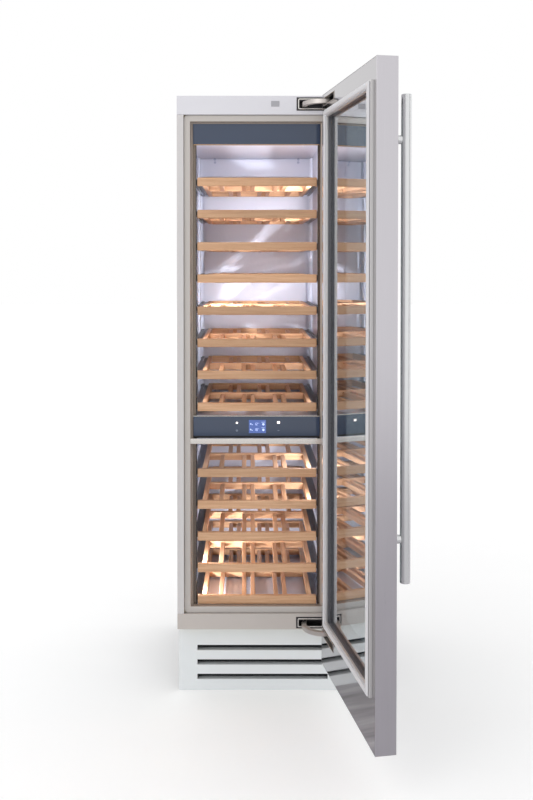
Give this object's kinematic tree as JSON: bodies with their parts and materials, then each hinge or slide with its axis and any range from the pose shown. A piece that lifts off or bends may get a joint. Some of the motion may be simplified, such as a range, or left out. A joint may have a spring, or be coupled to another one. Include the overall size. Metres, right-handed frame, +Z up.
{
  "type": "wine cooler",
  "caption": "Tall built-in wine cooler column with two temperature zones, sliding wooden racks, and a glazed steel door on concealed hinges, standing open.",
  "frame": {"origin": "on the floor, under the middle of the toe kick's foot flange, 60 mm behind the cabinet's front plane", "axes": "+Z up, -Y out of the door side, +X to the hinge side on the right as seen from the front"},
  "size_m": [0.7232, 1.2858, 2.134],
  "materials": {
    "painted_shell": "satin grey sheet steel",
    "front_paint": "satin light grey paint",
    "stile_paint": "satin near-white paint",
    "lower_paint": "satin warm grey paint",
    "strike_paint": "satin warm grey extrusion",
    "liner": "semi-gloss white sheet",
    "foam": "rigid foam",
    "galvanised": "zinc-plated sheet",
    "runner_steel": "zinc-plated folded steel",
    "divider_plastic": "moulded white",
    "foot": "black",
    "plinth": "satin pale grey paint",
    "black_enamel": "black enamel",
    "dark_plastic": "moulded",
    "slate_glass": "back-painted gloss glass",
    "display": "lit display",
    "bright_trim": "fine brushed",
    "aluminium": "mill finish",
    "sensor": "moulded",
    "lamp": "diffuser",
    "cast_zinc": "satin die-cast",
    "steel_outer": "brushed",
    "steel_inner": "bright polished",
    "frame_steel": "satin",
    "gasket": "soft magnetic seal",
    "glass": "clear low-iron",
    "spacer": "dark",
    "beech": "oiled beech"
  },
  "bodies": {
    "cabinet": {"left_side_panel": "painted_shell", "right_side_panel": "painted_shell", "top_panel": "painted_shell", "back_panel": "painted_shell", "top_front_rail": "front_paint", "left_front_stile": "stile_paint", "right_front_stile": "stile_paint", "bottom_front_rail": "lower_paint", "strike_frame": "strike_paint", "inner_liner": "liner", "ceiling_panel": "liner", "zone_divider": "divider_plastic", "insulation_foam": "foam", "base_tray": "galvanised", "left_runner_ladder": "runner_steel", "right_runner_ladder": "runner_steel", "levelling_foot_front_left": "foot", "levelling_foot_front_right": "foot", "levelling_foot_rear_left": "foot", "levelling_foot_rear_right": "foot", "toe_kick_grille": "plinth", "compressor": "black_enamel", "condenser": "black_enamel", "header_panel": "slate_glass", "control_panel": "slate_glass", "display": "display", "divider_trim_bar": "bright_trim", "evaporator": "aluminium", "door_sensor_plate": "sensor", "led_strip_left": "lamp", "led_strip_right": "lamp", "hinge_pocket_top": "cast_zinc", "hinge_pocket_bottom": "cast_zinc"},
    "condenser_fan": {"condenser_fan": "dark_plastic"},
    "hinge_arms": {"hinge_arm_top": "cast_zinc", "hinge_arm_bottom": "cast_zinc"},
    "door": {"door_outer_panel": "steel_outer", "door_inner_panel": "steel_inner", "door_core": "foam", "door_inner_frame": "frame_steel", "door_gasket": "gasket", "inner_glass": "glass", "glass_spacer": "spacer", "outer_glass": "glass", "handle_bar": "bright_trim", "handle_post_top": "bright_trim", "handle_post_bottom": "bright_trim"},
    "rack_01": {"rack_01": "beech"},
    "rack_02": {"rack_02": "beech"},
    "rack_03": {"rack_03": "beech"},
    "rack_04": {"rack_04": "beech"},
    "rack_05": {"rack_05": "beech"},
    "rack_06": {"rack_06": "beech"},
    "rack_07": {"rack_07": "beech"},
    "rack_08": {"rack_08": "beech"},
    "rack_09": {"rack_09": "beech"},
    "rack_10": {"rack_10": "beech"},
    "rack_11": {"rack_11": "beech"},
    "rack_12": {"rack_12": "beech"},
    "rack_13": {"rack_13": "beech"}
  },
  "joints": [
    {"name": "hinge_arm_swing", "type": "hinge", "parent": "cabinet", "child": "hinge_arms", "pos_m": [0.15, -0.05, 2.1], "axis": [0, 0, 1], "range_deg": [-3.2, 35.3]},
    {"name": "door_swing", "type": "hinge", "parent": "hinge_arms", "child": "door", "pos_m": [0.22561, -0.14371, 2.1], "axis": [0, 0, 1], "range_deg": [-134.97, 12]},
    {"name": "condenser_fan_spin", "type": "hinge", "parent": "cabinet", "child": "condenser_fan", "pos_m": [-0.13, 0.127, 0.132], "axis": [0, 1, 0], "continuous": true},
    {"name": "rack_01_slide", "type": "slide", "parent": "cabinet", "child": "rack_01", "axis": [0, -1, 0], "range_m": [0, 0.35]},
    {"name": "rack_02_slide", "type": "slide", "parent": "cabinet", "child": "rack_02", "axis": [0, -1, 0], "range_m": [0, 0.35]},
    {"name": "rack_03_slide", "type": "slide", "parent": "cabinet", "child": "rack_03", "axis": [0, -1, 0], "range_m": [0, 0.35]},
    {"name": "rack_04_slide", "type": "slide", "parent": "cabinet", "child": "rack_04", "axis": [0, -1, 0], "range_m": [0, 0.35]},
    {"name": "rack_05_slide", "type": "slide", "parent": "cabinet", "child": "rack_05", "axis": [0, -1, 0], "range_m": [0, 0.35]},
    {"name": "rack_06_slide", "type": "slide", "parent": "cabinet", "child": "rack_06", "axis": [0, -1, 0], "range_m": [0, 0.35]},
    {"name": "rack_07_slide", "type": "slide", "parent": "cabinet", "child": "rack_07", "axis": [0, -1, 0], "range_m": [0, 0.35]},
    {"name": "rack_08_slide", "type": "slide", "parent": "cabinet", "child": "rack_08", "axis": [0, -1, 0], "range_m": [0, 0.35]},
    {"name": "rack_09_slide", "type": "slide", "parent": "cabinet", "child": "rack_09", "axis": [0, -1, 0], "range_m": [0, 0.35]},
    {"name": "rack_10_slide", "type": "slide", "parent": "cabinet", "child": "rack_10", "axis": [0, -1, 0], "range_m": [0, 0.35]},
    {"name": "rack_11_slide", "type": "slide", "parent": "cabinet", "child": "rack_11", "axis": [0, -1, 0], "range_m": [0, 0.35]},
    {"name": "rack_12_slide", "type": "slide", "parent": "cabinet", "child": "rack_12", "axis": [0, -1, 0], "range_m": [0, 0.35]},
    {"name": "rack_13_slide", "type": "slide", "parent": "cabinet", "child": "rack_13", "axis": [0, -1, 0], "range_m": [0, 0.35]}
  ],
  "couplings": [
    {"joint": "hinge_arm_swing", "follows": "door_swing", "ratio": -0.26075}
  ]
}
